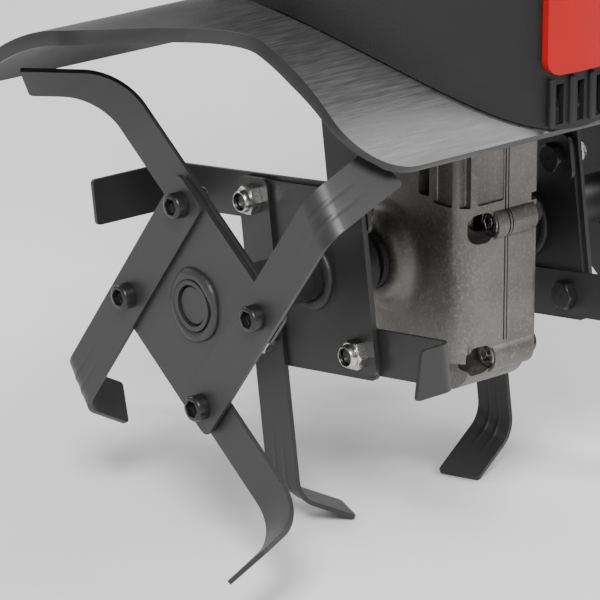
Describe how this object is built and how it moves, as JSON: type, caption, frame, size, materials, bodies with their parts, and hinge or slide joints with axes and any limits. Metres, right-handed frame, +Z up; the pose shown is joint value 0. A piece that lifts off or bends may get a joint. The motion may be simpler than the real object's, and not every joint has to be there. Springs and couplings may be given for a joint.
{
  "type": "petrol mini tiller",
  "caption": "Walk-behind mini tiller: two pairs of bent-blade tine stars on a worm-driven axle, split gearcase, fender, vertical-shaft engine, folding handlebar and drag stake.",
  "frame": {"origin": "centre of the bounding box's bottom face, on the ground", "axes": "+X to the machine's left, -Y to its front (where the engine's nose points), +Z up; tine axle along X"},
  "size_m": [0.485, 0.8118, 0.9334],
  "materials": {
    "black_paint": "satin black paint",
    "cast_aluminium": "as cast, blasted",
    "steel": "machined",
    "zinc": "zinc plated",
    "black_plastic": "matte",
    "red_plastic": "gloss",
    "rubber": "matte",
    "bronze": "machined",
    "tank_plastic": "translucent natural"
  },
  "bodies": {
    "frame": {"gearcase_left": "cast_aluminium", "gearcase_right": "cast_aluminium", "axle_bearing_left": "steel", "axle_bearing_right": "steel", "axle_seal_left": "rubber", "axle_seal_right": "rubber", "case_bolt_lower": "zinc", "case_bolt_upper": "zinc", "worm_bearing_lower": "steel", "worm_bearing_upper": "steel", "clutch_housing": "cast_aluminium", "engine_block": "cast_aluminium", "lower_shroud": "black_plastic", "top_cover": "red_plastic", "starter_housing": "black_plastic", "fuel_tank": "tank_plastic", "air_filter_cover": "black_plastic", "muffler": "steel", "fender": "black_paint", "handle_bracket": "black_paint", "lower_handle": "black_paint", "stake_bracket": "black_paint"},
    "rotor": {"tine_shaft": "steel", "worm_wheel": "bronze", "star_left_inner": "black_paint", "star_left_outer": "black_paint", "star_right_inner": "black_paint", "star_right_outer": "black_paint", "blade_left_inner_1": "black_paint", "blade_left_inner_2": "black_paint", "blade_left_inner_3": "black_paint", "blade_left_inner_4": "black_paint", "blade_left_outer_1": "black_paint", "blade_left_outer_2": "black_paint", "blade_left_outer_3": "black_paint", "blade_left_outer_4": "black_paint", "blade_right_inner_1": "black_paint", "blade_right_inner_2": "black_paint", "blade_right_inner_3": "black_paint", "blade_right_inner_4": "black_paint", "blade_right_outer_1": "black_paint", "blade_right_outer_2": "black_paint", "blade_right_outer_3": "black_paint", "blade_right_outer_4": "black_paint"},
    "worm": {"worm_shaft": "steel", "clutch_drum": "steel"},
    "crank": {"crankshaft": "steel", "flywheel": "cast_aluminium"},
    "handle": {"upper_handle": "black_paint", "grip_left": "rubber", "grip_right": "rubber", "throttle_housing": "black_plastic"},
    "throttle": {"throttle_lever": "black_plastic"},
    "switch": {"stop_switch": "red_plastic"},
    "starter_pull": {"starter_grip": "black_plastic"},
    "cap": {"fuel_cap": "black_plastic"},
    "knob_left": {"fold_knob_left": "black_plastic"},
    "knob_right": {"fold_knob_right": "black_plastic"},
    "stake": {"drag_stake": "steel"},
    "stake_screw": {"stake_knob": "black_plastic"}
  },
  "joints": [
    {"name": "tine_spin", "type": "hinge", "parent": "frame", "child": "rotor", "pos_m": [0, -0.29393, 0.12763], "axis": [1, 0, 0], "continuous": true},
    {"name": "worm_spin", "type": "hinge", "parent": "frame", "child": "worm", "pos_m": [0, -0.32593, 0.18763], "axis": [0, 0, 1], "continuous": true},
    {"name": "crank_spin", "type": "hinge", "parent": "frame", "child": "crank", "pos_m": [0, -0.32593, 0.34763], "axis": [0, 0, 1], "continuous": true},
    {"name": "handle_fold", "type": "hinge", "parent": "frame", "child": "handle", "pos_m": [0, 0.00607, 0.60763], "axis": [1, 0, 0], "range_deg": [0, 120]},
    {"name": "throttle_squeeze", "type": "hinge", "parent": "handle", "child": "throttle", "pos_m": [-0.225, 0.26954, 0.87383], "axis": [1, 0, 0], "range_deg": [0, 12], "stiffness_Nm_per_rad": 0.4, "springref_deg": -11.46},
    {"name": "switch_slide", "type": "slide", "parent": "handle", "child": "switch", "axis": [0, 1, 0], "range_m": [0, 0.005]},
    {"name": "starter_pull_out", "type": "slide", "parent": "frame", "child": "starter_pull", "axis": [-1, 0, 0], "range_m": [0, 0.35], "stiffness_N_per_m": 30, "springref_m": -0.03},
    {"name": "cap_turn", "type": "hinge", "parent": "frame", "child": "cap", "pos_m": [0.046, -0.19893, 0.40763], "axis": [0, 0, 1], "continuous": true},
    {"name": "knob_left_turn", "type": "hinge", "parent": "frame", "child": "knob_left", "pos_m": [0.15, 0.00607, 0.60763], "axis": [1, 0, 0], "continuous": true},
    {"name": "knob_right_turn", "type": "hinge", "parent": "frame", "child": "knob_right", "pos_m": [-0.15, 0.00607, 0.60763], "axis": [1, 0, 0], "continuous": true},
    {"name": "stake_slide", "type": "slide", "parent": "frame", "child": "stake", "axis": [0, 0, 1], "range_m": [0, 0.04]},
    {"name": "stake_knob_turn", "type": "hinge", "parent": "frame", "child": "stake_screw", "pos_m": [0, -0.12393, 0.06963], "axis": [0, 1, 0], "continuous": true}
  ],
  "couplings": [
    {"joint": "worm_spin", "follows": "tine_spin", "ratio": 20}
  ]
}
